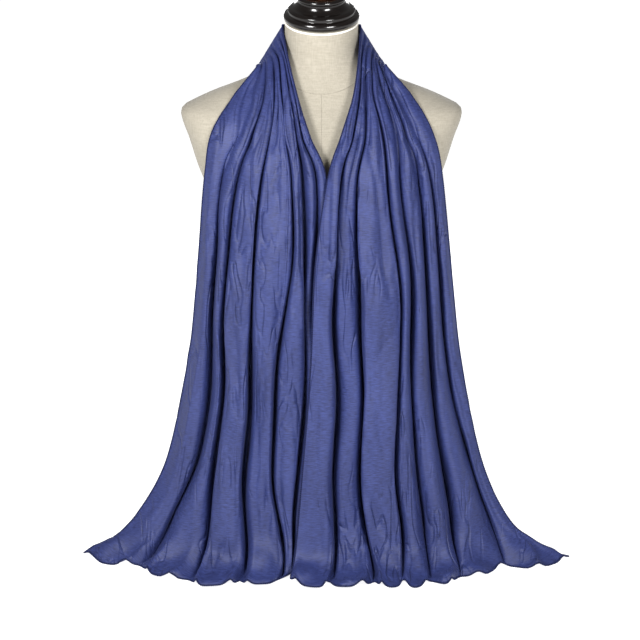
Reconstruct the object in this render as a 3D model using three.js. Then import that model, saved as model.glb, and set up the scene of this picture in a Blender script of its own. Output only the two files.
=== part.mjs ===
// Hijab headscarf laid round the neck of a limbless dress form, its two ends hanging down the front.
// Millimetres, +Z up, +X the viewer's right, -Y the front. The origin is the centre of the form's base.
import * as THREE from "three";

const clothWall = 1.1;
const stretchGap = 0.5;
const formClearance = 2.5;
const tableClearance = 0.3;

const neckRadius = 50;
const neckTopHeight = 744;
const neckTilt = 15;
const capSeatGap = 0.3;

// Sections of the form: half width, half depth, middle of the depth, squareness of the outline.
const formSections = [
  { z: 0, w: 160, d: 104, y: 4, n: 2.4 },
  { z: 6, w: 164, d: 107, y: 4, n: 2.4 },
  { z: 100, w: 168, d: 110, y: 4, n: 2.4 },
  { z: 220, w: 158, d: 101, y: 4, n: 2.3 },
  { z: 330, w: 126, d: 90, y: 2, n: 2.2 },
  { z: 420, w: 136, d: 98, y: 0, n: 2.2 },
  { z: 500, w: 152, d: 112, y: -2, n: 2.3 },
  { z: 548, w: 170, d: 109, y: 0, n: 2.7 },
  { z: 586, w: 182, d: 98, y: 3, n: 3.0 },
  { z: 613, w: 192, d: 86, y: 6, n: 3.0 },
  { z: 625, w: 191, d: 80, y: 7, n: 2.8 },
  { z: 634, w: 176, d: 76, y: 8, n: 2.5 },
  { z: 647, w: 148, d: 71, y: 8, n: 2.3 },
  { z: 659, w: 116, d: 66, y: 8, n: 2.2 },
  { z: 673, w: 85, d: 60, y: 7, n: 2.1 },
  { z: 688, w: 62, d: 54, y: 5, n: 2 },
  { z: 703, w: 53, d: 51.5, y: 3, n: 2 },
  { z: 722, w: 50.5, d: 50.5, y: 1, n: 2 },
];

// Turned outline of the neck cap above the neck's top face.
const capProfile = [
  { r: 47, z: 0 },
  { r: 51, z: 2.5 },
  { r: 52, z: 6.5 },
  { r: 50, z: 10.5 },
  { r: 46.5, z: 12 },
  { r: 46, z: 16 },
  { r: 43.5, z: 18.5 },
  { r: 38, z: 20.5 },
  { r: 34, z: 25 },
  { r: 32.5, z: 30 },
  { r: 34, z: 32.5 },
  { r: 33, z: 35.5 },
  { r: 29, z: 37 },
];
const collarProfile = [
  { r: 24, z: 37.3 },
  { r: 27, z: 38.5 },
  { r: 27.5, z: 41.5 },
  { r: 25.5, z: 44 },
  { r: 19, z: 45 },
];
const knobProfile = [
  { r: 9, z: 45.3 },
  { r: 8.5, z: 47.5 },
  { r: 13, z: 49.5 },
  { r: 16.5, z: 54 },
  { r: 16.5, z: 59 },
  { r: 13, z: 63.5 },
  { r: 6, z: 66 },
];

// Rows across each front end, from the side of the neck to the hem. The outside face runs from the
// inner edge to the outer edge; x, y and z under "sink" say which way a fold's depth goes.
const frontRows = [
  { at: "neckSide", inner: { y: 4, z: 733 }, outer: { y: 10, z: 680 }, sink: { x: 0.81, y: 0, z: -0.58 }, curve: 0 },
  { at: "collar", inner: { y: -46, z: 702 }, outer: { y: -22, z: 682 }, sink: { x: 0.3, y: 0.6, z: -0.6 }, curve: 0 },
  { at: "slope", inner: { y: -90, z: 652 }, outer: { y: -50, z: 646 }, sink: { x: 0, y: 0.9, z: -0.3 }, curve: 2 },
  { at: "chest", inner: { y: -117, z: 600 }, outer: { y: -76, z: 600 }, sink: { x: 0, y: 1, z: 0 }, curve: 2.2 },
  { at: "bust", inner: { y: -138, z: 545 }, outer: { y: -78, z: 545 }, sink: { x: 0, y: 1, z: 0 }, curve: 2.6 },
  { at: "waist", inner: { y: -150, z: 430 }, outer: { y: -75, z: 430 }, sink: { x: 0, y: 1, z: 0 }, curve: 3 },
  { at: "hip", inner: { y: -151, z: 300 }, outer: { y: -72, z: 300 }, sink: { x: 0, y: 1, z: 0 }, curve: 3 },
  { at: "low", inner: { y: -152, z: 150 }, outer: { y: -72, z: 150 }, sink: { x: 0, y: 1, z: 0 }, curve: 3 },
  { at: "foot", inner: { y: -153, z: 60 }, outer: { y: -72, z: 60 }, sink: { x: 0, y: 1, z: 0 }, curve: 3 },
  { at: "bend", inner: { y: -164, z: 21 }, outer: { y: -67, z: 21 }, sink: { x: 0, y: 0.5, z: -0.5 }, curve: 3 },
];

// Fold lines of the end on the viewer's left, outer edge first: x at each row, then x and y at the hem.
// Depths are how far a line sinks behind the outside face at the neck, on the chest, hanging and at the foot.
const leftFolds = [
  { line: "outerEdge", x: [-88, -119, -148, -157, -167, -181, -212, -260, -303], hem: [-338, -60], sink: [0, 2, 2, 0] },
  { line: "edgeCrest", x: [-86, -109, -130, -145, -151, -164, -189, -230, -270], hem: [-292, -110], sink: [0, 0, 0, 2] },
  { line: "outerFold", x: [-83, -101, -113, -133, -139, -150, -168, -208, -238], hem: [-254, -90], sink: [10, 18, 42, 30] },
  { line: "sideCrest", x: [-79, -87, -103, -121, -131, -141, -158, -181, -206], hem: [-224, -166], sink: [1, 1, 2, 2] },
  { line: "broadLeft", x: [-76, -79, -95, -113, -124, -132, -146, -155, -166], hem: [-180, -172], sink: [4, 22, 43, 30] },
  { line: "broadStart", x: [-73, -74, -90, -107, -119, -127, -142, -150, -156], hem: [-162, -208], sink: [0, 1, 1, 1] },
  { line: "broadEnd", x: [-69, -67, -77, -86, -95, -104, -111, -116, -118], hem: [-126, -203], sink: [0, 1, 1, 2] },
  { line: "longGap", x: [-66, -66, -75, -84, -93, -99, -102, -104, -104], hem: [-111, -176], sink: [5, 24, 45, 34] },
  { line: "middleStart", x: [-64, -61, -66, -76, -85, -87, -86, -86, -88], hem: [-97, -199], sink: [1, 2, 3, 2] },
  { line: "middleEnd", x: [-61, -58, -56, -49, -50, -67, -70, -62, -57], hem: [-73, -199], sink: [0, 2, 3, 3] },
  { line: "creaseThree", x: [-58, -55, -53, -44, -43, -61, -64, -57, -52], hem: [-58, -174], sink: [13, 24, 44, 30] },
  { line: "thirdStart", x: [-56, -51, -48, -37, -35, -53, -55, -51, -47], hem: [-48, -168], sink: [1, 2, 4, 8] },
  { line: "thirdEnd", x: [-53, -46, -40, -32, -27, -28, -33, -42, -43], hem: [-43, -160], sink: [1, 3, 6, 12] },
  { line: "creaseTwo", x: [-52, -44, -38, -29, -24, -23, -29, -39, -40], hem: [-39, -153], sink: [5, 22, 43, 30] },
  { line: "innerCrest", x: [-50, -40, -32, -17, -15, -15, -22, -33, -36], hem: [-35, -150], sink: [1, 3, 12, 15] },
  { line: "creaseOne", x: [-49, -38, -30, -9, -7, -9, -16, -28, -32], hem: [-31, -146], sink: [13, 22, 44, 30] },
  { line: "innerBand", x: [-48, -35, -24, -1, 1, -2, -9, -21, -27], hem: [-26, -146], sink: [2, 6, 13, 16] },
  { line: "innerEdge", x: [-47, -31, -17, 7, 9, 6, -3, -15, -21], hem: [-21, -145], sink: [4, 8, 15, 18] },
];

// Fold lines of the end on the viewer's right, outer edge first.
const rightFolds = [
  { line: "outerEdge", x: [90, 123, 150, 163, 175, 190, 220, 259, 300], hem: [351, -74], sink: [0, 2, 2, 0] },
  { line: "edgeCrest", x: [88, 113, 141, 155, 167, 182, 213, 249, 284], hem: [296, -124], sink: [0, 0, 0, 2] },
  { line: "outerFold", x: [85, 106, 129, 145, 157, 171, 203, 236, 250], hem: [253, -100], sink: [5, 18, 37, 30] },
  { line: "sideCrest", x: [82, 100, 121, 140, 150, 162, 182, 203, 216], hem: [219, -164], sink: [1, 1, 2, 2] },
  { line: "creaseTwo", x: [80, 94, 111, 129, 138, 147, 164, 180, 188], hem: [190, -158], sink: [13, 22, 44, 30] },
  { line: "sideBand", x: [77, 91, 107, 119, 129, 134, 149, 164, 166], hem: [168, -199], sink: [1, 1, 2, 2] },
  { line: "creaseOne", x: [75, 87, 99, 106, 119, 120, 130, 143, 147], hem: [149, -182], sink: [5, 22, 44, 30] },
  { line: "narrowCrest", x: [72, 80, 90, 98, 112, 112, 114, 125, 128], hem: [126, -213], sink: [1, 1, 2, 2] },
  { line: "longFold", x: [68, 70, 81, 89, 103, 101, 98, 109, 111], hem: [110, -184], sink: [13, 24, 45, 32] },
  { line: "broadEnd", x: [66, 68, 79, 86, 100, 101, 96, 103, 105], hem: [100, -213], sink: [0, 1, 1, 2] },
  { line: "broadStart", x: [63, 64, 65, 54, 56, 57, 55, 64, 79], hem: [86, -217], sink: [0, 1, 1, 2] },
  { line: "broadLeft", x: [60, 60, 59, 53, 55, 55, 53, 59, 71], hem: [72, -180], sink: [5, 22, 46, 32] },
  { line: "floorEnd", x: [59, 57, 52, 43, 44, 45, 44, 48, 56], hem: [52, -206], sink: [1, 3, 13, 4] },
  { line: "floorStart", x: [57, 55, 47, 31, 27, 25, 26, 27, 27], hem: [24, -211], sink: [1, 3, 13, 4] },
  { line: "innerFold", x: [55, 52, 42, 27, 21, 18, 18, 21, 18], hem: [11, -190], sink: [12, 21, 43, 27] },
  { line: "innerEnd", x: [53, 49, 38, 22, 16, 12, 11, 13, 10], hem: [-2, -213], sink: [1, 1, 1, 1] },
  { line: "innerBand", x: [52, 46, 33, 13, 1, -4, -13, -17, -19], hem: [-20, -209], sink: [0, 0, 0, 0] },
  { line: "innerEdge", x: [51, 43, 28, 7, -8, -14, -25, -33, -38], hem: [-42, -180], sink: [1, 2, 2, 0] },
];

// The gathered stretch behind the neck, by angle from the viewer's left round the back to the right.
const napeRows = [
  { angle: 25, lift: 1 },
  { angle: 58, lift: 4 },
  { angle: 90, lift: 6 },
  { angle: 122, lift: 4 },
  { angle: 155, lift: 1 },
];
const bandHold = 3.5;
const bandReach = 35;
const bandDrop = 53;
const napeTighter = 8;
const napeMiddle = 7;

const hipDeeper = 1.15;
const columnsPerFold = 3;
const rowsPerFrontStep = 2;
const rowsPerNapeStep = 2;
const hemRise = 7.5;
const hemFlat = 1.2;

function material(name, color, roughness, metalness = 0) {
  const finish = new THREE.MeshStandardMaterial({ color, roughness, metalness });
  finish.name = name;
  return finish;
}

const jersey = material("viscose_jersey", "#5a66a6", 0.75);
const linen = material("ivory_linen", "#dcd5c6", 0.9);
const darkWood = material("dark_lacquered_wood", "#2a211d", 0.25);
const collarMetal = material("brown_collar_ring", "#7a4a2c", 0.3);

// Value of one column of the form's section table at a height, eased through its neighbours.
function sectionAt(z, key) {
  const last = formSections.length - 1;
  let i = formSections.findIndex((row) => row.z > z) - 1;
  if (i < -1) {
    i = last - 1;
  }
  i = Math.max(0, Math.min(last - 1, i));
  const [a, b] = [formSections[i], formSections[i + 1]];
  const before = formSections[Math.max(0, i - 1)];
  const after = formSections[Math.min(last, i + 2)];
  const step = b.z - a.z;
  const t = Math.max(0, Math.min(1, (z - a.z) / step));
  const slopeA = ((b[key] - before[key]) / (b.z - before.z)) * step;
  const slopeB = ((after[key] - a[key]) / (after.z - a.z)) * step;
  const h1 = 2 * t ** 3 - 3 * t ** 2 + 1;
  const h2 = t ** 3 - 2 * t ** 2 + t;
  const h3 = t ** 3 - t ** 2;
  return a[key] * h1 + slopeA * h2 + slopeB * h3 + b[key] * (1 - h1);
}

// Signed distance in front of the form's surface, near enough for keeping cloth off it.
function formField(p) {
  const x = Math.abs(p.x) / sectionAt(p.z, "w");
  const y = Math.abs(p.y - sectionAt(p.z, "y")) / sectionAt(p.z, "d");
  const n = sectionAt(p.z, "n");
  return (x ** n + y ** n) ** (1 / n) - 1;
}

function keepOff(p) {
  for (let pass = 0; pass < 3; pass += 1) {
    const value = formField(p);
    const slope = new THREE.Vector3(
      formField(p.clone().setX(p.x + 0.5)) - value,
      formField(p.clone().setY(p.y + 0.5)) - value,
      formField(p.clone().setZ(p.z + 0.5)) - value,
    ).multiplyScalar(2);
    const size = Math.max(slope.length(), 1e-4);
    const short = clothWall / 2 + formClearance - value / size;
    if (short <= 0) {
      break;
    }
    p.addScaledVector(slope, short / size);
  }
  p.z = Math.max(p.z, clothWall / 2 + tableClearance);
  return p;
}

// Closed body from rings of equal count, each capped with a fan.
function ringBody(rings) {
  const count = rings[0].length;
  const points = rings.flat();
  const faces = [];
  for (let r = 0; r < rings.length - 1; r += 1) {
    for (let c = 0; c < count; c += 1) {
      const next = (c + 1) % count;
      faces.push(r * count + c, r * count + next, (r + 1) * count + next);
      faces.push(r * count + c, (r + 1) * count + next, (r + 1) * count + c);
    }
  }
  for (const end of [0, rings.length - 1]) {
    const centre = new THREE.Vector3();
    rings[end].forEach((p) => centre.add(p));
    points.push(centre.divideScalar(count));
    for (let c = 0; c < count; c += 1) {
      const pair = [end * count + c, end * count + ((c + 1) % count)];
      faces.push(points.length - 1, ...(end === 0 ? pair.reverse() : pair));
    }
  }
  return bodyFrom(points, faces);
}

function bodyFrom(points, faces) {
  const geometry = new THREE.BufferGeometry();
  geometry.setAttribute("position", new THREE.Float32BufferAttribute(points.flatMap((p) => [p.x, p.y, p.z]), 3));
  geometry.setIndex(faces);
  geometry.computeVertexNormals();
  return geometry;
}

function torsoRing(z, count) {
  const [w, d, y, n] = ["w", "d", "y", "n"].map((key) => sectionAt(z, key));
  return Array.from({ length: count }, (_, i) => {
    const a = (i / count) * Math.PI * 2;
    const size = (Math.abs(Math.cos(a)) ** n + Math.abs(Math.sin(a)) ** n) ** (-1 / n);
    return new THREE.Vector3(w * size * Math.cos(a), y + d * size * Math.sin(a), z);
  });
}

function torsoGeometry() {
  const count = 48;
  const heights = [0, 6, 50, 100, 160, 220, 275, 330, 375, 420, 460, 500, 530, 560, 590, 606, 618, 626, 634,
    642, 652, 665, 678, 690, 703, 720];
  const rings = heights.map((z) => torsoRing(z, count));
  const slope = Math.tan(THREE.MathUtils.degToRad(neckTilt));
  rings.push(Array.from({ length: count }, (_, i) => {
    const a = (i / count) * Math.PI * 2;
    const y = neckRadius * Math.sin(a);
    return new THREE.Vector3(neckRadius * Math.cos(a), y, neckTopHeight + y * slope);
  }));
  return ringBody(rings);
}

function turned(profile) {
  const count = 36;
  const lean = new THREE.Matrix4().makeRotationX(THREE.MathUtils.degToRad(neckTilt));
  const rings = profile.map((row) => Array.from({ length: count }, (_, i) => {
    const a = (i / count) * Math.PI * 2;
    const p = new THREE.Vector3(row.r * Math.cos(a), row.r * Math.sin(a), row.z + capSeatGap);
    return p.applyMatrix4(lean).add(new THREE.Vector3(0, 0, neckTopHeight));
  }));
  return ringBody(rings);
}

// Blend of a fold's four depths over the ten rows of a front end.
function depthAt(fold, row) {
  const [neck, chest, hang, foot] = fold.sink;
  const low = hang * hipDeeper;
  const stops = [neck, neck, (neck + chest) / 2, chest, (3 * chest + hang) / 4, hang, low, low, hang, foot];
  return stops[row];
}

// Place of a fold line within the gathered band, 1 at the outer edge: folds get more room than flats.
function bandRank(folds, index) {
  const widths = folds.slice(1).map((fold, i) => (Math.max(fold.sink[0], folds[i].sink[0]) > 3 ? 1.25 : 0.7));
  const sum = (list) => list.reduce((total, width) => total + width, 0);
  return 1 - sum(widths.slice(0, index)) / sum(widths);
}

// Position of one fold line on one row of a front end.
function frontPoint(folds, index, row, side) {
  const fold = folds[index];
  const { inner, outer, sink, curve } = frontRows[row];
  const rank = bandRank(folds, index);
  const x = row === 0 ? side * (neckRadius + bandHold + bandReach * rank) : fold.x[row - 1];
  const reach = Math.abs(folds[0].x[Math.max(0, row - 1)]);
  const along = curve === 0 ? rank : Math.max(0, Math.min(1, (side * x) / reach)) ** curve;
  const depth = depthAt(fold, row);
  return new THREE.Vector3(
    x - side * sink.x * depth,
    THREE.MathUtils.lerp(inner.y, outer.y, along) + sink.y * depth,
    THREE.MathUtils.lerp(inner.z, outer.z, along) + sink.z * depth,
  );
}

function hemPoint(fold) {
  const [x, y] = fold.hem;
  return new THREE.Vector3(x, y, hemFlat + hemRise * (1 - Math.min(1, fold.sink[3] / 22)));
}

// Position of one fold line behind the neck, where the two ends' folds run into each other.
function napePoint(index, row) {
  const { angle, lift } = napeRows[row];
  const rank = bandRank(leftFolds, index);
  const share = THREE.MathUtils.smoothstep(angle, 60, 120);
  const depth = THREE.MathUtils.lerp(leftFolds[index].sink[0], rightFolds[index].sink[0], share);
  const a = THREE.MathUtils.degToRad(180 - angle);
  const reach = bandReach - napeTighter * Math.sin(a);
  const { x: sinkX, z: sinkZ } = frontRows[0].sink;
  const radius = neckRadius + bandHold + reach * rank - sinkX * depth;
  const z = frontRows[0].inner.z + lift - bandDrop * rank + sinkZ * depth;
  return new THREE.Vector3(radius * Math.cos(a), napeMiddle + radius * Math.sin(a), z);
}

// The whole scarf as one run of fold lines, from the left hem round the neck to the right hem.
function foldLines() {
  const lines = [];
  for (let i = 0; i < leftFolds.length; i += 1) {
    const points = [hemPoint(leftFolds[i])];
    for (let row = frontRows.length - 1; row >= 0; row -= 1) {
      points.push(frontPoint(leftFolds, i, row, -1));
    }
    napeRows.forEach((_, row) => points.push(napePoint(i, row)));
    for (let row = 0; row < frontRows.length; row += 1) {
      points.push(frontPoint(rightFolds, i, row, 1));
    }
    points.push(hemPoint(rightFolds[i]));
    lines.push(points);
  }
  return lines;
}

function eased(points, at) {
  const last = points.length - 1;
  const i = Math.max(0, Math.min(last - 1, Math.floor(at)));
  const t = at - i;
  const [a, b, c, d] = [i - 1, i, i + 1, i + 2].map((k) => points[Math.max(0, Math.min(last, k))]);
  const pick = (key) => {
    const [p, q, r, s] = [a[key], b[key], c[key], d[key]];
    const bend = 2 * p - 5 * q + 4 * r - s;
    return 0.5 * (2 * q + (r - p) * t + bend * t ** 2 + (3 * q - p - 3 * r + s) * t ** 3);
  };
  return new THREE.Vector3(pick("x"), pick("y"), pick("z"));
}

// One row of the cloth's middle surface: a rounded curve through every fold line.
function clothRow(lines, at) {
  const knots = lines.map((points) => eased(points, at));
  const curve = new THREE.CatmullRomCurve3(knots, false, "centripetal");
  return curve.getPoints((knots.length - 1) * columnsPerFold).map(keepOff);
}

// Closed cloth of even wall from rows of its middle surface.
function clothBody(rows) {
  const [rowCount, columnCount] = [rows.length, rows[0].length];
  const face = (side) => rows.map((row, r) => row.map((p, c) => {
    const along = new THREE.Vector3().subVectors(rows[Math.min(rowCount - 1, r + 1)][c], rows[Math.max(0, r - 1)][c]);
    const across = new THREE.Vector3().subVectors(row[Math.min(columnCount - 1, c + 1)], row[Math.max(0, c - 1)]);
    const normal = new THREE.Vector3().crossVectors(across, along).normalize();
    return p.clone().addScaledVector(normal, (side * clothWall) / 2);
  }));
  const points = [...face(1).flat(), ...face(-1).flat()];
  const back = rowCount * columnCount;
  const faces = [];
  const quad = (a, b, c, d) => faces.push(a, b, c, a, c, d);
  for (let r = 0; r < rowCount - 1; r += 1) {
    for (let c = 0; c < columnCount - 1; c += 1) {
      const a = r * columnCount + c;
      quad(a, a + 1, a + columnCount + 1, a + columnCount);
      quad(back + a, back + a + columnCount, back + a + columnCount + 1, back + a + 1);
    }
  }
  for (let r = 0; r < rowCount - 1; r += 1) {
    const start = r * columnCount;
    const end = start + columnCount - 1;
    quad(start, start + columnCount, back + start + columnCount, back + start);
    quad(end, back + end, back + end + columnCount, end + columnCount);
  }
  for (let c = 0; c < columnCount - 1; c += 1) {
    const top = (rowCount - 1) * columnCount + c;
    quad(c, back + c, back + c + 1, c + 1);
    quad(top, top + 1, back + top + 1, back + top);
  }
  return bodyFrom(points, faces);
}

function spread(from, to, steps) {
  return Array.from({ length: steps + 1 }, (_, i) => from + ((to - from) * i) / steps);
}

const group = new THREE.Group();
group.name = "hijab_headscarf_on_form";

function add(name, geometry, finish) {
  const mesh = new THREE.Mesh(geometry, finish);
  mesh.name = name;
  group.add(mesh);
}

add("form_torso", torsoGeometry(), linen);
add("form_neck_cap", turned(capProfile), darkWood);
add("form_cap_collar", turned(collarProfile), collarMetal);
add("form_cap_knob", turned(knobProfile), darkWood);

const scarf = foldLines();
const leftSeam = frontRows.length;
const rightSeam = leftSeam + napeRows.length + 1;
const lastRow = rightSeam + frontRows.length;
const seamStep = stretchGap / 60;
const frontSteps = leftSeam * rowsPerFrontStep;
const napeSteps = (rightSeam - leftSeam) * rowsPerNapeStep;
const stretches = [
  { name: "scarf_front_left", rows: spread(0, leftSeam - seamStep, frontSteps) },
  { name: "scarf_neck_stretch", rows: spread(leftSeam + seamStep, rightSeam - seamStep, napeSteps) },
  { name: "scarf_front_right", rows: spread(rightSeam + seamStep, lastRow, frontSteps) },
];
for (const { name, rows } of stretches) {
  add(name, clothBody(rows.map((at) => clothRow(scarf, at))), jersey);
}

export default group;
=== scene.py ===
import math

import bpy
import numpy as np
from mathutils import Matrix, Vector


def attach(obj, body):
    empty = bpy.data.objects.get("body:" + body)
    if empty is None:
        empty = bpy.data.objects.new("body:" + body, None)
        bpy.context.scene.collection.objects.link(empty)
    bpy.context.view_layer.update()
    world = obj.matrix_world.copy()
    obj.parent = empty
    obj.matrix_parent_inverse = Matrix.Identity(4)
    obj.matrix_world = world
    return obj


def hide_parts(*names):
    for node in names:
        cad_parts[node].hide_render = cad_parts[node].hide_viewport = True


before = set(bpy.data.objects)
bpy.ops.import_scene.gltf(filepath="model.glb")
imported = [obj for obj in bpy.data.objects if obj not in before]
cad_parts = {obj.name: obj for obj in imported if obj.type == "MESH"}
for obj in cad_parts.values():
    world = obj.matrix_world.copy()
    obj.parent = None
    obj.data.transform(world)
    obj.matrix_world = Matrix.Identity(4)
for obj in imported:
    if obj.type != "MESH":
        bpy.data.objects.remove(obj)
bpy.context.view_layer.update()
print("frame loaded")

mm = 0.001  # sizes below are in millimetres, meshes in metres


def fromHex(text):
    values = [int(text[i : i + 2], 16) / 255 for i in (1, 3, 5)]
    linear = [v / 12.92 if v <= 0.04045 else ((v + 0.055) / 1.055) ** 2.4 for v in values]
    return (*linear, 1.0)


view = {
    "target": (-2, 0, 325),
    "distance": 3500,
    "elevation": 12.5,  # degrees above the table
    "mmPerPixel": 1.40,  # at the form's middle
    "pixels": 640,  # side of the photo's frame
    "sensor": 36,  # the camera's width, which only sets its lens
}


def addObject(name, data):
    holder = bpy.data.objects.new(name, data)
    bpy.context.collection.objects.link(holder)
    return holder


def addCamera():
    tilt = math.radians(view["elevation"])
    back = Vector((0, -math.cos(tilt), math.sin(tilt)))
    camera = bpy.data.cameras.new("studioCamera")
    camera.sensor_width = view["sensor"]
    camera.lens = view["distance"] / view["mmPerPixel"] * view["sensor"] / view["pixels"]
    camera.clip_end = 50
    holder = addObject("studioCamera", camera)
    holder.location = (Vector(view["target"]) + back * view["distance"]) * mm
    holder.rotation_euler = back.to_track_quat("Z", "Y").to_euler()
    bpy.context.scene.camera = holder


addCamera()
print("camera placed")

form = {
    "neckRadius": 50,
    "neckTop": 744,
    "neckTilt": 15,  # degrees, the top face leans forward
    "neckFrom": 720,  # height above which the neck's rings slope up to that face
    # share of the way up to the face, and how far inside the neck's radius
    "neckRings": ((0.35, 0), (0.7, 0), (0.93, 0), (1.0, 1.2), (1.0, 6)),
    "capSeat": 0.3,
    "sections": [  # height, half width, half depth, middle of the depth, squareness
        (0, 160, 104, 4, 2.4),
        (6, 164, 107, 4, 2.4),
        (100, 168, 110, 4, 2.4),
        (220, 158, 101, 4, 2.3),
        (330, 126, 90, 2, 2.2),
        (420, 136, 98, 0, 2.2),
        (500, 152, 112, -2, 2.3),
        (548, 170, 109, 0, 2.7),
        (586, 182, 98, 3, 3.0),
        (613, 192, 86, 6, 3.0),
        (625, 191, 80, 7, 2.8),
        (634, 176, 76, 8, 2.5),
        (647, 148, 71, 8, 2.3),
        (659, 116, 66, 8, 2.2),
        (673, 85, 60, 7, 2.1),
        (688, 62, 54, 5, 2.0),
        (703, 53, 51.5, 3, 2.0),
        (722, 50.5, 50.5, 1, 2.0),
    ],
    # y and z in front, rise towards the back, lift with the square of x to both sides
    "neckSeam": {"front": (-60, 651), "rise": 0.5, "lift": 0.0045, "thick": 0.45},
    "frontSeam": {"top": 650, "bottom": 560, "thick": 0.35},
    "topEdge": {"inset": 0.4, "thick": 1.3, "below": 1.6},
}

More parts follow.
